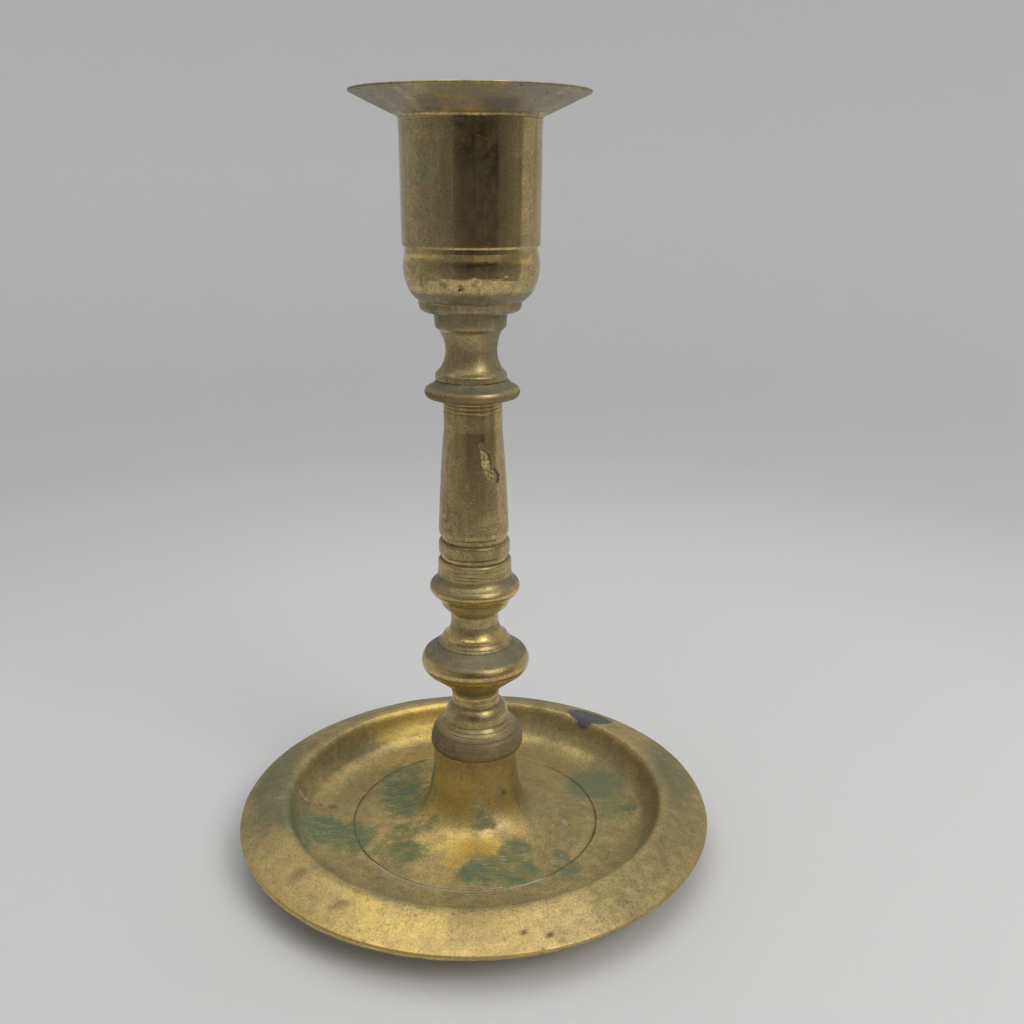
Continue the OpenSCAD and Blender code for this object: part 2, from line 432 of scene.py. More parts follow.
# Linear colours: metal from bright gold, where rubbing has cleaned it, to tarnished, dirt and films,
# verdigris, small marks, and iron. The near-black dirt colour also paints shade, and the pale colour of the
# drips also paints a highlight.
GOLD = (0.84, 0.62, 0.22)
TAN = (0.60, 0.45, 0.205)
OLIVE = (0.42, 0.335, 0.155)
UMBER = (0.25, 0.18, 0.085)
RUSSET = (0.42, 0.25, 0.10)
GRIME_AND_SHADE = (0.05, 0.04, 0.024)
FILM = (0.18, 0.17, 0.105)
DISH_TINT = (0.20, 0.21, 0.11)
PALE_FILM = (0.31, 0.285, 0.21)
GREEN = (0.115, 0.175, 0.048)
TEAL = (0.07, 0.15, 0.085)
SAGE = (0.21, 0.20, 0.088)
POWDER = (0.22, 0.30, 0.19)
PIT = (0.07, 0.05, 0.026)
BRIGHT_METAL = (0.66, 0.52, 0.24)
SCRATCH = (0.62, 0.54, 0.30)
CHIP_GREY = (0.15, 0.155, 0.16)
DEEPER_GOLD = (1.0, 0.97, 0.72)
DRIP_AND_HIGHLIGHT = (0.47, 0.43, 0.35)
IRON_DARK = (0.10, 0.095, 0.09)
IRON_BARE = (0.22, 0.21, 0.20)
RUST = (0.16, 0.065, 0.025)
# How strongly the dirt and film shine, where they aren't metal.
DIELECTRIC_SHINE = 0.25


def aged_brass(name, shine=0.2, dull=0.5, haze=0.1, blotch=1.0, speckle=0.3, lines=0.4, line_gap=0.5,
               warm=0.0, slope=-0.45, grit=0.8, film_colour=FILM, add=None):
    """Old lacquerless brass: gold where rubbing has cleaned it and where highlights are painted in as gold,
    olive and brown where it is tarnished, near-black where dirt lies and where shade is painted.

    shine is the roughness of clean metal, dull how far the tarnish has gone, haze how much film lies on all
    of it, blotch how uneven both are, speckle how dark the fine pits are, lines how strong the turning lines
    are, line_gap their spacing in mm, warm how much red-brown shows, grit how grainy the tarnish is,
    film_colour the film's colour, and slope how much of the radius goes into the coordinate that the lines
    follow. add(graph, colour, rough) may lay one more layer on top.
    """
    g = Graph(name)
    g.shader.inputs["Specular IOR Level"].default_value = DIELECTRIC_SHINE
    x, y, z = g.split(g.place)
    radius = g.math("SQRT", g.plus(g.times(x, x), g.times(y, y)))
    reach = g.math("MAXIMUM", radius, 0.002)
    worn, grime, film, green, dark = (g.mark(m) for m in ("worn", "grime", "film", "green", "dark"))

    broad = g.plus(g.noise(g.place, 75, 4.0, 0.6, 0.3), -0.5)
    mottle = g.plus(g.noise(g.place, 420, 4.0, 0.62), -0.5)
    grain = g.plus(g.noise(g.place, 2300, 2.0, 0.6), -0.5)
    streak = g.plus(g.noise(g.stretch(g.place, (250, 1200, 900), (0, 0, 12)), 1.0, 3.0, 0.6), -0.5)
    profile = g.plus(z, g.times(radius, slope))
    turned = g.join(g.times(g.math("DIVIDE", x, reach), 0.7), g.times(g.math("DIVIDE", y, reach), 0.7),
                    g.times(profile, 0.7 / (line_gap * MM)))
    rings = g.plus(g.noise(turned, 1.0, 2.0, 0.6), -0.5)

    age = g.clamp(g.plus(dull, g.times(broad, 1.3 * blotch), g.times(mottle, 0.9 * blotch),
                         g.times(rings, 0.9 * lines), g.times(grain, grit), g.times(worn, -0.6)))
    colour = g.ramp(age, (0.0, GOLD), (0.34, TAN), (0.64, OLIVE), (1.0, UMBER))
    if warm:
        colour = g.mix(g.times(g.step(g.plus(broad, g.times(mottle, 0.5)), 0.0, 0.2), warm), colour, RUSSET)

    veil = g.clamp(g.plus(film, haze, g.times(mottle, 0.9 * blotch), g.times(broad, 0.6 * blotch),
                          g.times(grain, 0.5 * blotch), g.times(worn, -0.7)))
    colour = g.mix(veil, colour, film_colour)

    # Near-black for dirt in grooves and dark stains, and also painted shade: along the sides of the dish's
    # incised circle and under the nozzle's flange.
    dirt_and_shade = g.clamp(g.plus(g.times(grime, g.plus(0.8, mottle)), g.times(dark, 0.9)))
    colour = g.mix(dirt_and_shade, colour, GRIME_AND_SHADE)

    gap, pick = g.cells(g.stretch(g.place, (1, 1, 1.3)), 1500)
    pits = g.times(g.step(gap, 0.42, 0.2), g.step(pick, 0.62, 0.72))
    large_gap, large_pick = g.cells(g.place, 420)
    large_pits = g.times(g.step(g.plus(large_gap, g.times(grain, 0.5)), 0.2, 0.1),
                         g.step(large_pick, 0.84, 0.88))
    spots = g.clamp(g.plus(g.times(pits, speckle), g.times(large_pits, min(1.0, speckle * 1.6)),
                           g.times(g.step(grain, 0.06, 0.22), speckle * 0.8)))
    colour = g.mix(spots, colour, PIT)

    patchy = g.plus(g.noise(g.stretch(g.place, (1, 1, 0.4)), 190, 4.0, 0.65, 0.8), -0.5)
    crust = g.step(g.plus(green, g.times(patchy, 2.0), g.times(mottle, 0.7), g.times(streak, 0.7),
                          g.times(grain, 0.7)), 0.1, 1.05)
    crust = g.times(crust, g.step(green, 0.0, 0.4), 0.88)
    tint = g.mix(g.step(g.plus(patchy, broad), -0.12, 0.12), GREEN, TEAL)
    tint = g.mix(g.step(g.plus(streak, g.times(grain, 0.5)), -0.06, 0.14), tint, SAGE)
    tint = g.mix(g.step(g.plus(mottle, g.times(grain, 0.8)), 0.08, 0.3), tint, UMBER)
    bloom = g.step(g.plus(g.times(mottle, -0.8), g.times(grain, 0.8)), 0.12, 0.3)
    tint = g.mix(g.times(bloom, 0.6), tint, POWDER)
    colour = g.mix(crust, colour, tint)

    rough = g.plus(shine, g.times(age, 0.10), g.times(worn, -0.08), g.times(veil, 0.22), g.times(dirt_and_shade, 0.3),
                   g.times(spots, 0.1), g.times(crust, 0.35), g.times(mottle, 0.16))
    metal = g.clamp(g.plus(1.0, g.times(veil, -0.6), g.times(dirt_and_shade, -0.7), g.times(spots, -0.15),
                           g.times(crust, -0.9)))
    if add:
        colour, rough = add(g, colour, rough)

    pitting = min(0.6, 2 * speckle)
    normal = g.bump(g.plus(g.times(mottle, 0.6), g.times(grain, 0.12)), 0.00012, 0.5 * blotch)
    normal = g.bump(rings, 0.0001, lines, normal)
    relief = g.plus(g.times(pits, -0.6), g.times(large_pits, -1.2), g.times(crust, 0.8))
    normal = g.bump(relief, 0.0001, pitting, normal)
    g.put(g.shader.inputs["Base Color"], colour)
    g.put(g.shader.inputs["Roughness"], g.clamp(rough))
    g.put(g.shader.inputs["Metallic"], metal)
    g.put(g.shader.inputs["Normal"], normal)
    return g.material


def drawn_lines(g, colour, rough):
    """Upright scratches, as polishing along a tube leaves, and porous metal where it is marked."""
    long = g.noise(g.stretch(g.place, (1500, 1500, 45)), 1.0, 2.0, 0.6)
    wide = g.noise(g.stretch(g.place, (420, 420, 22)), 1.0, 2.0, 0.5)
    colour = g.mix(g.times(g.step(long, 0.58, 0.68), 0.5), colour, TAN)
    colour = g.mix(g.times(g.step(wide, 0.52, 0.72), 0.6), colour, UMBER)
    torn = g.plus(g.noise(g.place, 900, 3.0, 0.65), -0.5)
    pore = g.mark("pore")
    pore = g.times(g.step(g.plus(pore, g.times(torn, 1.2)), 0.25, 0.5), g.step(pore, 0.0, 0.3), 0.7)
    holes = g.step(g.noise(g.place, 1900, 2.0, 0.6), 0.50, 0.58)
    colour = g.mix(pore, colour, BRIGHT_METAL)
    colour = g.mix(g.times(pore, holes), colour, GRIME_AND_SHADE)
    return colour, g.plus(rough, g.times(g.plus(wide, -0.5), 0.14), g.times(pore, 0.25))


def iron():
    """Dull rod iron with rust in patches."""
    g = Graph("rod_iron")
    patch = g.noise(g.place, 500, 5.0, 0.65)
    fine = g.noise(g.place, 3000, 3.0, 0.6)
    rust = g.step(g.plus(patch, g.times(g.plus(fine, -0.5), 0.4)), 0.48, 0.62)
    bare = g.mix(fine, IRON_DARK, IRON_BARE)
    g.put(g.shader.inputs["Base Color"], g.mix(rust, bare, RUST))
    g.put(g.shader.inputs["Metallic"], g.plus(0.9, g.times(rust, -0.85)))
    g.put(g.shader.inputs["Roughness"], g.plus(0.42, g.times(rust, 0.4)))
    g.put(g.shader.inputs["Normal"], g.bump(g.plus(patch, g.times(fine, 0.4)), 0.0002, 0.7))
    return g.material


# ---------------------------------------------------------------- the candlestick

ROD_HOLE_R = 2.6
FLANGE_H = 5.05
SLEEVE_H = 19.4
SPIGOT_H = 3.0
SPIGOT_R = 4.6
STEM_BORE_R = 4.7
NECK_R = 5.1


def level_of(node, top=False):
    """Height of a CAD node's lowest or highest point, in mm."""
    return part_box(node)[1 if top else 0].z / MM


def rod_hole(top, bottom):
    """The hole round the tie rod, from the top down."""
    return [(ROD_HOLE_R, top), (ROD_HOLE_R, bottom)]


# Radii on the dish: its incised circle, the foot of the well's wall, and where the trumpet flares out.
GROOVE_R = 27.5
WALL_FOOT_R = 39.6
TRUMPET_R = 12
# The bearing, in degrees, of the lip's front, which is painted more golden, partly for rubbing and partly as
# a painted highlight.
LIGHT_SIDE = -16

# The DISH lists and CHIP are spots for patches(). CUP_GREEN and TRUMPET_DARK are spots for wall_spots().
DISH_GREEN = [
    (-32.0, -6.5, 9.5, 6.0, -20, 1.0),
    (-26.5, -10.0, 5.0, 5.5, 0, 1.0),
    (-38.5, -9.0, 3.6, 10.0, 15, 0.6),
    (-17.0, 6.0, 6.0, 11.0, 10, 1.0),
    (-17.5, 16.5, 6.0, 6.5, -35, 0.8),
    (-13.0, 20.0, 6.0, 4.5, -20, 0.55),
    (-13.5, 7.0, 3.5, 8.0, 0, 0.8),
    (-12.5, -2.5, 4.5, 5.0, 30, 0.75),
    (-9.0, -9.5, 2.5, 2.0, -40, 0.5),
    (-15.5, -15.6, 7.5, 3.8, -10, 0.9),
    (-15.5, -9.0, 5.0, 3.4, 20, 0.9),
    (2.0, -22.6, 6.5, 3.8, 15, 0.95),
    (9.0, -22.0, 7.0, 4.6, -10, 0.95),
    (9.0, -15.6, 4.0, 2.6, 20, 0.85),
    (19.5, -20.5, 5.0, 3.6, 40, 0.6),
    (32.8, 3.8, 5.6, 6.2, 0, 0.85),
    (24.5, 2.6, 3.0, 6.0, 0, 0.5),
    (0.4, -10.9, 4.6, 1.4, 0, 0.7),
    (-24.0, -32.5, 7.0, 1.2, -36, 0.5),
]
CUP_GREEN = [(-34, 144, 2.6, 0.6), (-52, 137, 3, 0.5), (-22, 151, 2, 0.42), (44, 148, 2.2, 0.36)]
DISH_FILM = [
    (28.0, 13.0, 8.5, 8.0, 0, 0.95),
    (32.0, 18.0, 6.0, 5.0, -40, 0.5),
    (-39.0, -10.0, 2.8, 13.0, 20, 0.9),
    (-42.0, -9.0, 2.6, 9.0, 20, 0.8),
    (-31.0, -23.0, 9.0, 3.0, -50, 0.6),
    (-6.0, -38.5, 17.0, 2.2, 0, 0.5),
    (18.8, -15.9, 1.8, 1.4, 0, 1.0),
    (0.0, 48.0, 34.0, 6.0, 0, 0.6),
    (-46.0, 4.0, 5.0, 21.0, 0, 0.8),
    (46.0, 10.0, 5.0, 20.0, 0, 0.65),
]
DISH_DARK = [
    (-35.8, 3.6, 0.7, 0.6, 0, 0.6),
    (-33.2, 3.4, 1.2, 0.9, 0, 0.75),
    (10.9, -47.1, 0.5, 0.5, 0, 0.9),
    (15.3, -47.2, 0.6, 0.5, 0, 0.9),
    (0.0, -31.5, 26.0, 5.0, 0, 0.3),
    (-20.0, -24.0, 14.0, 6.0, -30, 0.24),
    (20.0, -22.0, 12.0, 5.0, 35, 0.16),
    (-34.4, -31.2, 2.4, 1.6, 40, 0.4),
    (-24.6, -40.1, 1.6, 1.2, 0, 0.4),
]
TRUMPET_DARK = [(43, 14.2, 1.1, 0.8), (58, 16.5, 0.8, 0.5), (-20, 17.0, 0.6, 0.4)]
DISH_PALE = [
    (20.3, -4.4, 0.7, 1.3, 15, 1.0),
    (-39.9, 3.0, 1.3, 0.7, 0, 0.7),
    (-38.6, 1.2, 0.9, 0.5, 0, 0.6),
]
# Gold patches for rubbing that also paint the highlights on the trumpet's flare and the highlight streak at
# the back left of the well.
DISH_RUBBED_HIGHLIGHTS = [
    (-2.3, -15.6, 3.6, 3.0, 10, 0.7),
    (3.4, -15.2, 3.2, 2.6, 0, 0.75),
    (-8.0, -13.5, 5.5, 3.8, 25, 0.5),
    (-4.0, -19.3, 3.4, 1.8, -15, 0.5),
    (9.5, -8.5, 2.5, 4.0, 40, 0.4),
    (-18.0, 36.0, 12.0, 4.0, 25, 0.7),
]
CHIP = [(28.5, 35.5, 6.2, 5.0, -38, 1.0)]


def dish_outline():
    """Down the trumpet, across the well and over the lip, then back underneath to the rod hole."""
    top = (bend((9.1, 22.5), (9, 18), (9.8, 14)) + bend((9.8, 14), (10.4, 9.1), (12.9, 7.2))
           + bend((12.9, 7.2), (15.5, 5.34), (27.2, 3.84)) + [(GROOVE_R, 3.5)]
           + bend((27.8, 3.81), (33.5, 2.9), (36.8, 4.1)) + bend((36.8, 4.1), (40.1, 5.3), (41, 9.2))
           + bend((41, 9.2), (41.4, 10.95), (42.4, 10.95)) + bend((42.4, 10.95), (44.6, 10.9), (51.85, 7.75))
           + bend((51.85, 7.75), (52.4, 7.2), (51.9, 6.65)))
    under = (bend((51.9, 6.65), (45, 9.6), (43.6, 9.6)) + bend((43.6, 9.6), (42.7, 9.5), (42.55, 8.6))
             + bend((42.55, 8.6), (41.6, 3.7), (37.6, 2.5)) + [(35.7, 2), (35.4, 0), (33, 0), (32.7, 1.9)]
             + bend((27.1, 2), (15.4, 3.4), (12, 5.9)) + bend((12, 5.9), (8.5, 8), (8.1, 13.3))
             + [(7.6, 19.3)])
    return top + under + rod_hole(19.3, 22.5)


def dish_shape(points, normals):
    """The lip waves a little and has three small nicks, the chip lies low, and the foot stays flat."""
    radius = np.hypot(points[:, 0], points[:, 1])
    lip = smooth(radius, 42, 50)
    move = 0.10 * lip * noise(points, 22, 3, 2) + 0.05 * noise(points, 6, 4, 3)
    above = smooth(normals[:, 2], 0.1, 0.6)
    move -= 0.30 * above * patches(points, CHIP)
    angle = bearing(points)
    for nick, width, depth in ((31.5, 1.2, 0.35), (34.0, 0.7, 0.2), (-58.0, 1.5, 0.2)):
        move -= depth * smooth(radius, 50.9, 51.9) * smooth(-around_gap(angle, nick), -width, 0)
    move[(points[:, 2] < 0.5)] = 0
    return move


def dish_paint(points, normals):
    """Where rubbing has brightened the base, partly as painted highlights, and where it is browned, green,
    filmed, stained and chipped; the incised circle has a painted highlight at the front and painted shade at
    its sides and back.
    """
    radius = np.hypot(points[:, 0], points[:, 1])
    angle = bearing(points)
    above = smooth(normals[:, 2], -0.05, 0.15)
    lip = smooth(radius, 42.6, 44.5)
    # Painted highlight as well as rubbing: the lip is more golden round its front.
    lip_rub_and_highlight = lip * smooth(-around_gap(angle, LIGHT_SIDE), -50, -22) * 0.35
    brown_lip = lip * smooth(around_gap(angle, LIGHT_SIDE), 40, 62) * 0.24
    rubbed_highlights = patches(points, DISH_RUBBED_HIGHLIGHTS)
    trumpet = 0.5 * smooth(-radius, -TRUMPET_R - 2, -TRUMPET_R) * smooth(-around_gap(angle, -50), -90, -20)
    # Painted shade: the incised circle is darkened only at its sides and back, away from the front.
    groove = smooth(-np.abs(radius - GROOVE_R), -1.2, -0.6) * smooth(around_gap(angle, -10), 30, 70)
    # Painted highlight: a pale line along the front of the incised circle.
    circle_highlight = smooth(-np.abs(radius - 27.7), -0.45, -0.15) * smooth(-around_gap(angle, -8), -60, -35)
    foot_of_wall = smooth(-np.abs(radius - WALL_FOOT_R), -2.4, -0.6) * smooth(-normals[:, 2], -0.98, -0.8)
    stains = np.maximum(patches(points, DISH_DARK), wall_spots(points, TRUMPET_DARK))
    return {
        "worn": above * np.maximum(np.maximum(lip_rub_and_highlight, rubbed_highlights), trumpet),
        "green": above * patches(points, DISH_GREEN),
        "film": above * np.maximum(patches(points, DISH_FILM), 0.35 * foot_of_wall),
        "dark": above * np.maximum(np.maximum(stains, 0.25 * foot_of_wall), brown_lip),
        "chip": above * patches(points, CHIP),
        "pale": above * np.maximum(patches(points, DISH_PALE), 0.85 * circle_highlight),
        "grime": 0.4 * groove * smooth(-np.abs(radius - GROOVE_R), -0.4, -0.2),
        "unworn": groove,
    }


def dish_layer(g, colour, rough):
    """Deeper gold where rubbing and painted highlights lie, the grey chip, pale drips and the painted
    highlight on the incised circle, and fine scratches through the verdigris.
    """
    colour = g.mix(g.mark("worn"), colour, DEEPER_GOLD, "MULTIPLY")
    ragged = g.times(g.plus(g.noise(g.place, 260, 4.0, 0.6), -0.5), 1.3)
    chip = g.step(g.plus(g.mark("chip"), ragged), 0.42, 0.58)
    colour = g.mix(chip, colour, CHIP_GREY)
    rough = g.plus(rough, g.times(chip, 0.2))
    drip_and_highlight = g.step(g.plus(g.mark("pale"), ragged), 0.4, 0.6)
    colour = g.mix(drip_and_highlight, colour, DRIP_AND_HIGHLIGHT)
    fine = g.stretch(g.place, (25, 900, 900), (0, 0, 24))
    other = g.stretch(g.place, (30, 1100, 1100), (0, 0, -38))
    where = g.math("MAXIMUM", g.step(g.noise(g.place, 130, 2.0), 0.5, 0.6),
                   g.times(g.step(g.mark("green"), 0.2, 0.6), 0.35))
    for way in (fine, other):
        line = g.math("ABSOLUTE", g.plus(g.noise(way, 1.0, 1.0, 0.5), -0.5))
        colour = g.mix(g.times(g.step(line, 0.010, 0.0), where, 0.6), colour, SCRATCH)
    return colour, rough


# The other outlines start at the foot of the piece, go up the outside and come back down the inside.

def drum_outline():
    shoulder = bend((10.1, 1.8), (10, 4.3), (8.4, 5.2)) + bend((8.35, 5.25), (7.55, 5.9), (6.95, 6.6))
    return (bend((9.3, 0), (10.3, 0.4), (10.15, 1.7)) + lined(shoulder, (3.4, 4.5, 5.3, 5.9), 0.07, 0.12)
            + bend((6.95, 7), (6.75, 9.9), (5.25, 10.7)) + [(NECK_R, 11.5), (NECK_R, 12.9)]
            + rod_hole(12.9, 0))


def main_outline():
    low = bend((7.85, 3.4), (9.15, 4.4), (10.55, 5.5))
    nose = bend((10.7, 5.6), (12.5, 7.5), (10.98, 9.6))
    slope = bend((10.9, 9.7), (8.5, 11.2), (7.13, 13.1))
    return ([(NECK_R, 0)] + bend((5.15, 0.6), (5.8, 1.8), (7.75, 3.25)) + lined(low, (4.4,))
            + lined(nose, (6.5,), 0.08) + lined(slope, (11.9, 12.5), 0.08, 0.12)
            + bend((6.93, 13.6), (5.45, 14.25), (NECK_R, 16.6))
            + bend((NECK_R, 17.8), (NECK_R, 18.8), (5.35, 19.2)) + rod_hole(19.2, 0))


def bead_outline():
    low = bend((7.05, 1.6), (7.3, 2.6), (8.4, 3.7))
    nose = bend((8.5, 3.8), (10.4, 5.4), (9, 6.8))
    band = [(7.8, 8.5), (7.7, 11.65)]
    return (lined(bend((5.35, 0), (6.1, 0.5), (7, 1.5)), (0.9,), 0.08, 0.12) + lined(low, (2.6,), 0.08)
            + lined(nose, (4.6,)) + bend((9, 6.8), (8, 7.3), (7.8, 8.5))
            + lined(band, (9.2, 9.9, 10.7), 0.06, 0.12)
            + [(7.45, 11.95), (7, 12.05), (7, 12.7)] + rod_hole(12.7, 0))


def ring_outline():
    return [(7, 0), (7, 0.45), (7.4, 0.6), (7.52, 0.9), (7.5, 2.9), (7.35, 3.25), (6.75, 3.45), (6.75, 4.6),
            (SPIGOT_R, 4.6), (SPIGOT_R, 4.6 + SPIGOT_H)] + rod_hole(4.6 + SPIGOT_H, 0)


def stem_outline(height):
    wall = bend((7.35, 1.2), (6.75, 0.549 * height), (6, 0.796 * height)) + [(6, height)]
    lines = [height - below for below in (2, 1.15, 0.4)]
    return (bend((6.9, 0), (7.35, 0), (7.35, 1.2)) + lined(wall, lines, 0.12, 0.16)
            + [(STEM_BORE_R, height), (STEM_BORE_R, 0)])


def disc_outline():
    return ([(SPIGOT_R, -SPIGOT_H), (SPIGOT_R, 0)] + bend((6.15, 0), (8.1, 0.35), (9.25, 0.85))
            + bend((9.3, 0.9), (9.95, 1.6), (9.45, 2.55)) + bend((9.4, 2.65), (8.2, 3), (7.25, 4.2))
            + rod_hole(4.2, -SPIGOT_H))


def spool_outline():
    return ([(7.1, 0), (7.22, 0.2)] + bend((7.22, 0.9), (7.2, 1.4), (6.95, 1.55))
            + bend((6.85, 1.65), (5.18, 3.2), (5.18, 6.2)) + bend((5.18, 6.2), (5.38, 8.4), (6.25, 9.8))
            + [(7, 10.5), (7.15, 11), (7.3, 13.2)] + bend((7.4, 13.35), (9.85, 13.4), (10.15, 14.6))
            + [(10.3, 15.8)] + rod_hole(15.8, 0))


def bowl_outline():
    return (bend((10.5, 0), (13.22, 2.1), (13.42, 6.2)) + bend((13.42, 6.2), (13.47, 8.1), (13.02, 9.4))
            + [(13.02, 10.25), (12.4, 10.25), (12.4, 12.25), (11.6, 12.25)]
            + bend((11.6, 8.6), (11.6, 6.6), (9.6, 6.6)) + [(0, 6.6), (0, 5.2), (2.45, 5.2), (2.45, 0)])


def cup_outline():
    return ([(12.5, 0), (13.3, 0), (13.52, 0.4)] + bend((13.62, 18.2), (13.62, 21.2), (13.74, 23.2))
            + [(12.5, 23.2)])


def nozzle_outline():
    return ([(11.4, -SLEEVE_H), (12.4, -SLEEVE_H), (12.4, 0)] + bend((13.74, 0), (13.82, 0.5), (14.5, 0.68))
            + bend((22.3, 4.35), (22.85, 4.63), (22.85, 4.9))
            + [(22.7, FLANGE_H), (22.15, FLANGE_H), (21.6, 4.85)]
            + bend((12.9, 1.05), (11.4, 0.45), (11.4, -0.9)))


# The crack's way down the stem, as (bearing, height).
FLAW = [(16, 92.2), (20, 91.2), (31, 90.2), (33, 89.0), (36, 87.7), (44, 86.6), (51, 85.6), (48, 84.2)]
# Radii that turn a bearing into a distance round the stem and the bowl.
STEM_R = 6.4
BOWL_R = 13.2
# The casting pits of the bowl, as (bearing, height, size, depth).
BOWL_PITS = [(-44, 124.7, 1.1, 0.08), (-21, 124.3, 0.8, 0.1), (-7, 123.6, 0.55, 0.4), (5, 124.6, 0.9, 0.06),
             (12, 121.2, 1.3, 0.05), (31, 125.3, 0.35, 0.12)]


def flaw_gap(points):
    """Distance in mm, along the stem's surface, to the crack left by a casting flaw."""
    across = np.radians(bearing(points)) * STEM_R
    path = [(math.radians(a) * STEM_R, z) for a, z in FLAW]
    found = np.full(len(points), 1e3)
    wobble = 0.16 * noise(points, 0.8, 31, 2)
    for (u0, z0), (u1, z1) in zip(path, path[1:]):
        du, dz = u1 - u0, z1 - z0
        t = np.clip(((across - u0) * du + (points[:, 2] - z0) * dz) / (du * du + dz * dz), 0, 1)
        found = np.minimum(found, np.hypot(across - u0 - t * du, points[:, 2] - z0 - t * dz) + wobble)
    return found


def porous(points):
    """The patch of porous metal beside the crack."""
    across = np.radians(bearing(points)) * STEM_R
    lean = (points[:, 2] - 88) * -0.25
    return smooth(-np.hypot((across - 3.1 - lean) / 1.3, (points[:, 2] - 88) / 4), -1.15, -0.6)


def stem_shape(points, normals):
    """The crack is a narrow trench, with porous metal beside its lower end."""
    crack = smooth(-flaw_gap(points), -0.3, -0.02)
    holes = porous(points) * np.clip(noise(points, 0.6, 17, 2), 0, 1)
    return 0.02 * noise(points, 5, 11, 3) - 0.16 * crack - 0.12 * holes


def stem_paint(points, normals):
    """A dark crack, freckled porous metal beside it, freckles low on the left and film at the sides."""
    across = np.radians(bearing(points)) * STEM_R
    crack = smooth(-flaw_gap(points), -0.5, -0.25)
    pore = porous(points)
    freckles = smooth(noise(points, 0.65, 23, 2), 0.0, 0.4)
    low_left = smooth(-np.hypot((across + 4.8) / 2.4, (points[:, 2] - 76) / 5), -1.2, -0.4)
    side = smooth(around_gap(bearing(points), 0), 35, 70)
    return {
        "dark": np.maximum(crack, np.maximum(pore * freckles * 0.9, low_left * freckles * 0.5)),
        "pore": pore * (1 - crack),
        "film": 0.12 * side,
    }


def bowl_shape(points, normals):
    """A cast surface left lumpy, with pits of several depths at the front."""
    move = 0.03 * noise(points, 3.2, 41, 3)
    ragged = 0.35 * noise(points, 0.7, 43, 2)
    for angle, height, size, depth in BOWL_PITS:
        across = np.radians(around_gap(bearing(points), angle)) * BOWL_R
        move -= depth * smooth(-np.hypot(across, points[:, 2] - height) / size + ragged, -1.2, -0.2)
    return move


def bowl_paint(points, normals):
    """Two gold bands, for rubbing and partly as painted highlights, broken up by the lumps; darkened pits;
    and film underneath.
    """
    height = points[:, 2] + 0.25 * noise(points, 2.5, 44, 3)
    rub_and_sheen = smooth(noise(points * (1, 1, 3), 3.2, 41, 3), -0.35, 0.5)
    low = smooth(-np.abs(height - 124.6), -2.2, -0.9)
    high = smooth(-np.abs(height - 128.6), -1.1, -0.4)
    pits = np.zeros(len(points))
    ragged = 0.8 * noise(points, 0.9, 43, 3)
    for angle, middle, size, _ in BOWL_PITS:
        across = np.radians(around_gap(bearing(points), angle)) * BOWL_R
        pits = np.maximum(pits, smooth(-np.hypot(across, points[:, 2] - middle) / size + ragged, -1.3, -0.3))
    under = smooth(-height, -122.8, -121.8)
    return {"worn": rub_and_sheen * np.maximum(0.35 * low, high), "dark": np.maximum(pits * 0.5, 0.25 * under),
            "film": 0.6 * under}


def nozzle_paint(points, normals):
    """A brown rim, and a pale film under the flange, with painted shade in two stretches at the front."""
    radius = np.hypot(points[:, 0], points[:, 1])
    top = level_of("nozzle", True)
    rim = smooth(radius, 22.3, 22.7) * smooth(-np.abs(points[:, 2] - top + 0.25), -0.22, -0.1)
    under = smooth(-normals[:, 2], 0.3, 0.6) * smooth(radius, 14.2, 15.2)
    front = np.maximum(smooth(-around_gap(bearing(points), -23), -10, -4),
                       smooth(-around_gap(bearing(points), 20), -17, -8))
    shaded = under * front * smooth(-radius, -20, -17.5)
    return {"dark": np.maximum(0.5 * rim, 0.5 * shaded), "film": 0.6 * under}


def wavy(amount, size, seed):
    """A shape that strays from true by about amount, in waves of about size."""
    return lambda points, normals: amount * noise(points, size, seed, 3)


def band(low, high, amount, front=1.0, mark="film"):
    """A mark between two heights in mm; front is how much of it is left at the front, towards -Y."""
    def paint(points, normals):
        inside = smooth(points[:, 2], low - 0.3, low + 0.3)
        inside = inside * smooth(-points[:, 2], -high - 0.3, -high + 0.3)
        side = front + (1 - front) * smooth(around_gap(bearing(points), 0), 20, 65)
        return {mark: amount * inside * side}
    return paint


def film_side(centre, width, amount):
    """Film over one side of a piece, round a bearing."""
    return lambda points, normals: {
        "film": amount * smooth(-around_gap(bearing(points), centre), -width, -width / 3)}


def tinted(*spots):
    """Small patches of verdigris on an upright wall."""
    return lambda points, normals: {"green": wall_spots(points, spots)}


def layers(*paints):
    """Several kinds of paint as one."""
    def paint(points, normals):
        marks = {}
        for one in paints:
            for mark, value in one(points, normals).items():
                marks[mark] = np.maximum(marks.get(mark, 0), value)
        return marks
    return paint


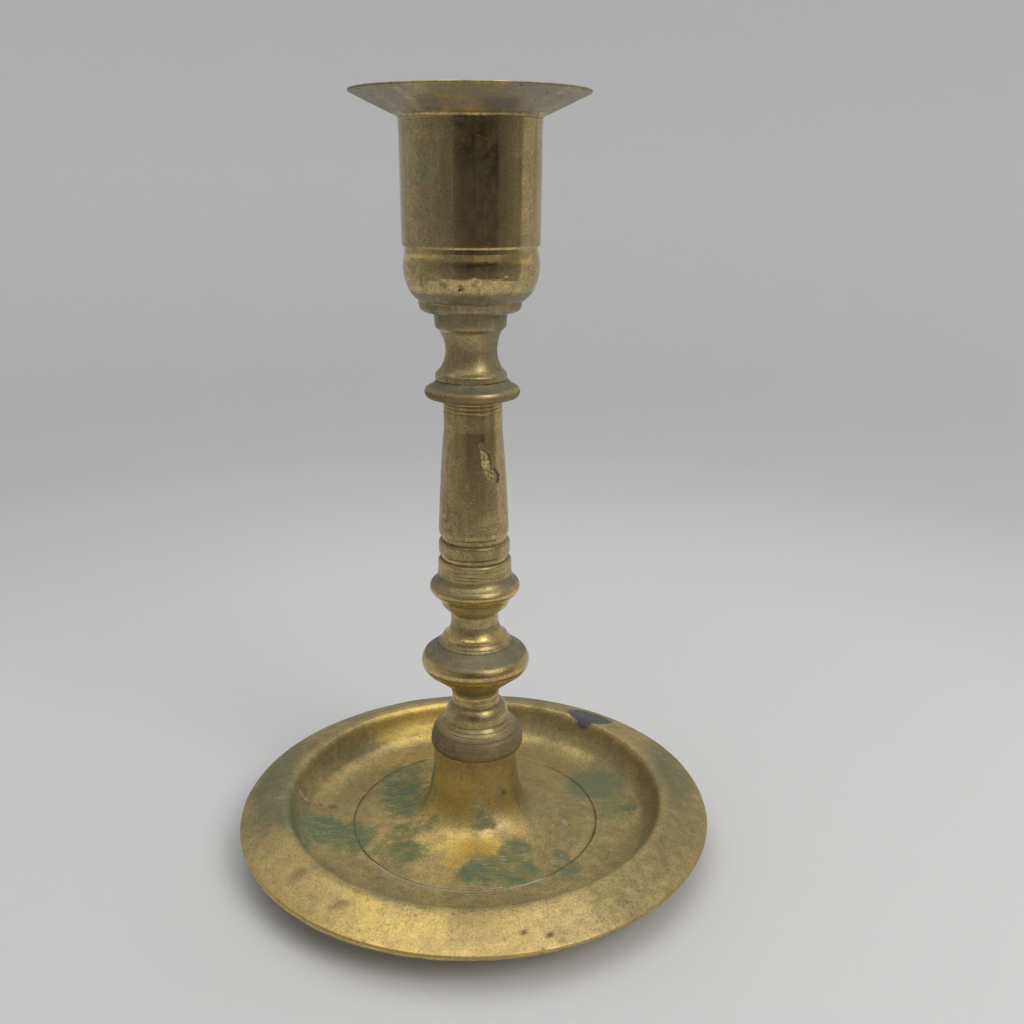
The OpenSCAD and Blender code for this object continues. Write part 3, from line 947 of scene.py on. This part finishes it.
def build():
    """The materials, the eleven turned pieces, and the iron on the three CAD nodes that stay."""
    base_brass = aged_brass("base_brass", shine=0.46, dull=0.47, haze=0.07, blotch=0.68, speckle=0.2,
                            lines=0.25, line_gap=0.6, warm=0.12, slope=1.0, grit=0.85,
                            film_colour=DISH_TINT, add=dish_layer)
    knop_brass = aged_brass("knop_brass", shine=0.25, dull=0.46, haze=0.07, blotch=0.7, speckle=0.2,
                            lines=0.55, line_gap=0.5, warm=0.2)
    stem_brass = aged_brass("stem_brass", shine=0.15, dull=0.49, haze=0.08, blotch=0.7, speckle=0.1,
                            lines=0.07, line_gap=0.4, warm=0.35, grit=1.2, add=drawn_lines)
    socket_brass = aged_brass("socket_brass", shine=0.06, dull=0.54, haze=0.1, blotch=0.6, speckle=0.06,
                              lines=0.06, line_gap=0.4, grit=1.2, add=drawn_lines)
    nozzle_brass = aged_brass("nozzle_brass", shine=0.2, dull=0.62, haze=0.14, blotch=1.3, speckle=0.3,
                              lines=0.3, line_gap=0.5, grit=1.2, film_colour=PALE_FILM)
    rod_iron = iron()

    foot = "candlestick"
    drum_z, knop_z, bead_z = (level_of(node) for node in ("drum_knop", "main_knop", "bead_knop"))
    stem_z, disc_z = level_of("stem_tube"), level_of("stem_tube", True)
    spool_z, bowl_z = level_of("neck_spool"), level_of("cup_bowl")
    lathe("base_dish", foot, base_brass, dish_outline(), 0, 256, 0.6, 0.12, film=0,
          shape=dish_shape, paint=dish_paint)
    drum_marks = layers(band(drum_z + 1.6, drum_z + 6.3, 0.2, 0.5),
                        band(drum_z, drum_z + 5.0, 0.6, mark="dark"))
    lathe("drum_knop", foot, knop_brass, drum_outline(), drum_z, lean=0.5,
          shape=wavy(0.02, 3, 51), paint=drum_marks)
    # The gold band in the cove, from 13.4 to 15.2 mm above the knop's foot, is partly a painted highlight.
    knop_marks = layers(band(knop_z + 9.6, knop_z + 12.3, 0.85, 0.9), band(knop_z + 0.6, knop_z + 3.4, 0.6),
                        band(knop_z + 3, knop_z + 9.2, 0.25, mark="worn"),
                        band(knop_z + 13.4, knop_z + 15.2, 0.35, mark="worn"),
                        band(knop_z + 14.5, knop_z + 19.2, 0.15, mark="dark"))
    lathe("main_knop", foot, knop_brass, main_outline(), knop_z, lean=0.3,
          shape=wavy(0.02, 4, 52), paint=knop_marks)
    bead_marks = layers(band(bead_z + 6.6, bead_z + 8.6, 0.85, 0.15), band(bead_z, bead_z + 3.6, 0.6),
                        band(bead_z + 4.4, bead_z + 6.6, 0.14, mark="dark"),
                        band(bead_z + 0.3, bead_z + 5.8, 0.4, mark="worn"))
    lathe("bead_knop", foot, knop_brass, bead_outline(), bead_z, lean=0.27,
          shape=wavy(0.02, 3, 53), paint=bead_marks)
    ring_z = level_of("stem_ring")
    lathe("stem_ring", foot, stem_brass, ring_outline(), ring_z, lean=0.22,
          shape=wavy(0.015, 3, 54), paint=band(ring_z, ring_z + 3.4, 0.15, mark="dark"))
    lathe("stem_tube", foot, stem_brass, stem_outline(disc_z - stem_z), stem_z, 320, 0.2,
          lean=0.1, bore=STEM_BORE_R + 0.1, shape=stem_shape, paint=stem_paint)
    disc_marks = layers(band(disc_z + 2.8, disc_z + 4.4, 0.9),
                        band(disc_z + 0.3, disc_z + 2.2, 0.7, mark="dark"))
    lathe("disc_knop", foot, knop_brass, disc_outline(), disc_z, shape=wavy(0.02, 3, 55),
          paint=disc_marks)
    spool_green = tinted((40, spool_z + 13, 3.5, 0.5), (-50, spool_z + 14, 3, 0.5),
                         (60, spool_z + 9, 2.5, 0.4))
    spool_marks = layers(film_side(75, 60, 0.7), band(spool_z + 10.3, spool_z + 15.8, 0.6),
                         band(spool_z, spool_z + 10, 0.32),
                         band(spool_z + 2, spool_z + 10, 0.16, mark="dark"), spool_green)
    lathe("neck_spool", foot, stem_brass, spool_outline(), spool_z, lean=-0.25,
          shape=wavy(0.02, 3, 56), paint=spool_marks)
    lathe("cup_bowl", foot, socket_brass, bowl_outline(), bowl_z, 320, 0.25,
          shape=bowl_shape, paint=bowl_paint)
    lathe("socket_cup", foot, socket_brass, cup_outline(), level_of("socket_cup"),
          shape=wavy(0.012, 8, 57), paint=layers(film_side(-45, 45, 0.35), tinted(*CUP_GREEN)))
    lathe("nozzle", "nozzle", nozzle_brass, nozzle_outline(),
          level_of("nozzle", True) - FLANGE_H, 320, shape=wavy(0.03, 6, 58), paint=nozzle_paint)

    for node in ("tie_rod", "rod_washer", "rod_nut"):
        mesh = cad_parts[node].data
        mesh.materials.clear()
        mesh.materials.append(rod_iron)


# ---------------------------------------------------------------- room, light and camera

# Metres from here on. The card's shades are placed by height times CARD_RAMP.
ROOM_R = 0.95
ROOM_TOP = 1.3
CARD_R = 0.30
CARD_TOP = 0.36
CARD_RAMP = 3
WARM_WHITE = (1, 0.98, 0.95)
# The camera stands in front, tilted up by CAMERA_TILT degrees from straight down.
CAMERA_AT = (0.008115, -0.21576, 0.14319)
CAMERA_TILT = 72.795
CAMERA_ROLL = 0.2448
LENS_MM = 37.97
SENSOR_MM = 36


def grey(value):
    return (value, value, value)


def sweep(name, outline, material, start=0, end=360, count=128):
    """A staged surface turned about Z from an outline in metres, between two bearings."""
    steps = [math.radians(start + (end - start) * i / count - 90) for i in range(count + 1)]
    points = [(r * math.cos(a), r * math.sin(a), z) for r, z in outline for a in steps]
    row = count + 1
    faces = [(i * row + k, i * row + k + 1, (i + 1) * row + k + 1, (i + 1) * row + k)
             for i in range(len(outline) - 1) for k in range(count)]
    mesh = bpy.data.meshes.new(name)
    mesh.from_pydata(points, [], faces)
    mesh.shade_smooth()
    mesh.materials.append(material)
    thing = bpy.data.objects.new(name, mesh)
    bpy.context.scene.collection.objects.link(thing)
    return thing


def room():
    """A pale floor that curves up into a grey wall all round, painted lightest round the middle as a pool of
    light. Seen from below it is clear.
    """
    g = Graph("room")
    x, y, z = g.split(g.place)
    away = g.math("SQRT", g.plus(g.times(x, x), g.times(y, y)))
    # Painted light: the floor is lightest near the candlestick and greys off outwards, then lightens a little
    # up the wall.
    shade = g.ramp(g.plus(away, z), (0.17, grey(0.70)), (0.36, grey(0.59)), (1.0, grey(0.66)))
    g.put(g.shader.inputs["Base Color"], shade)
    g.shader.inputs["Roughness"].default_value = 0.85
    g.shader.inputs["Specular IOR Level"].default_value = 0.2
    clear = g.add("ShaderNodeBsdfTransparent").outputs[0]
    either = g.add("ShaderNodeMixShader")
    g.put(either.inputs[0], g.add("ShaderNodeNewGeometry").outputs["Backfacing"])
    g.put(either.inputs[1], g.shader.outputs[0])
    g.put(either.inputs[2], clear)
    g.put(g.tree.nodes["Material Output"].inputs["Surface"], either.outputs[0])
    floor = [(1e-5, 0), (0.1, 0), (0.25, 0)]
    outline = floor + bend((0.5, 0), (ROOM_R, 0), (ROOM_R, 0.5), 12) + [(ROOM_R, ROOM_TOP)]
    sweep("room", outline[::-1], g.material)


def dark_card():
    """The unlit side of the tent, behind the camera: seen only in reflections."""
    g = Graph("dark_card")
    x, y, z = g.split(g.place)
    angle = g.math("MULTIPLY", g.math("ARCTAN2", x, g.times(y, -1)), 180 / math.pi)
    sides = g.times(g.step(angle, -95, -35), g.step(angle, 100, 50))
    core = g.times(g.step(angle, -27, -21), g.step(angle, 50, 43))
    rise = g.times(z, CARD_RAMP)
    # The greys are painted light and shade of the room behind the camera: darkest in the middle near the
    # camera's height, lighter lower down, higher up and at the sides.
    middle = g.ramp(rise, (0.0, grey(0.31)), (0.3, grey(0.20)), (0.372, grey(0.13)), (0.468, grey(0.06)),
                    (0.52, grey(0.1)), (0.6, grey(0.42)))
    flank = g.ramp(rise, (0.22, grey(0.40)), (0.4, grey(0.22)), (0.52, grey(0.27)), (0.6, grey(0.45)))
    shade = g.mix(sides, grey(0.5), g.mix(core, flank, middle))
    g.put(g.shader.inputs["Base Color"], shade)
    g.shader.inputs["Roughness"].default_value = 1.0
    g.shader.inputs["Specular IOR Level"].default_value = 0.0
    outline = [(CARD_R, CARD_TOP), (CARD_R, CARD_TOP / 2), (CARD_R, 0.0)]
    card = sweep("dark_card", outline, g.material, -90, 90, 64)
    card.visible_camera = False
    card.visible_shadow = False
    card.visible_diffuse = False


def lamp(name, place, turn, size, watts, colour=(1, 1, 1)):
    """A rectangle of light that the camera doesn't see. turn is in degrees."""
    light = bpy.data.lights.new(name, "AREA")
    light.shape = "RECTANGLE"
    light.size, light.size_y = size
    light.energy = watts
    light.color = colour
    thing = bpy.data.objects.new(name, light)
    thing.location = place
    thing.rotation_euler = [math.radians(a) for a in turn]
    thing.visible_camera = False
    bpy.context.scene.collection.objects.link(thing)


def light():
    """A soft ceiling, two narrow bars high at the back, a panel at the front right, and a pale world."""
    lamp("soft_ceiling", (0, 0, 0.95), (0, 0, 0), (1.3, 1.3), 3.4)
    lamp("bar_left", (-0.08, 0.12, 0.72), (0, 0, 0), (0.05, 0.3), 0.1, WARM_WHITE)
    lamp("bar_right", (0.14, 0.12, 0.72), (0, 0, 0), (0.05, 0.3), 0.1, WARM_WHITE)
    lamp("bar_front_right", (0.42, -0.42, 0.52), (36, 36, 0), (0.34, 0.4), 1.9, WARM_WHITE)
    world = bpy.data.worlds.new("studio")
    world.use_nodes = True
    world.node_tree.nodes["Background"].inputs["Color"].default_value = (0.8, 0.81, 0.82, 1)
    world.node_tree.nodes["Background"].inputs["Strength"].default_value = 0.6
    bpy.context.scene.world = world


def camera():
    """The view from the front and slightly above."""
    data = bpy.data.cameras.new("camera")
    data.sensor_width = SENSOR_MM
    data.lens = LENS_MM
    data.clip_start = 0.01
    thing = bpy.data.objects.new("camera", data)
    look = Euler((math.radians(CAMERA_TILT), 0, 0)).to_matrix().to_4x4()
    roll = Matrix.Rotation(math.radians(CAMERA_ROLL), 4, "Z")
    thing.matrix_world = Matrix.Translation(CAMERA_AT) @ look @ roll
    bpy.context.scene.collection.objects.link(thing)
    bpy.context.scene.camera = thing


build()
room()
dark_card()
light()
camera()
bpy.context.scene.view_settings.view_transform = "Standard"
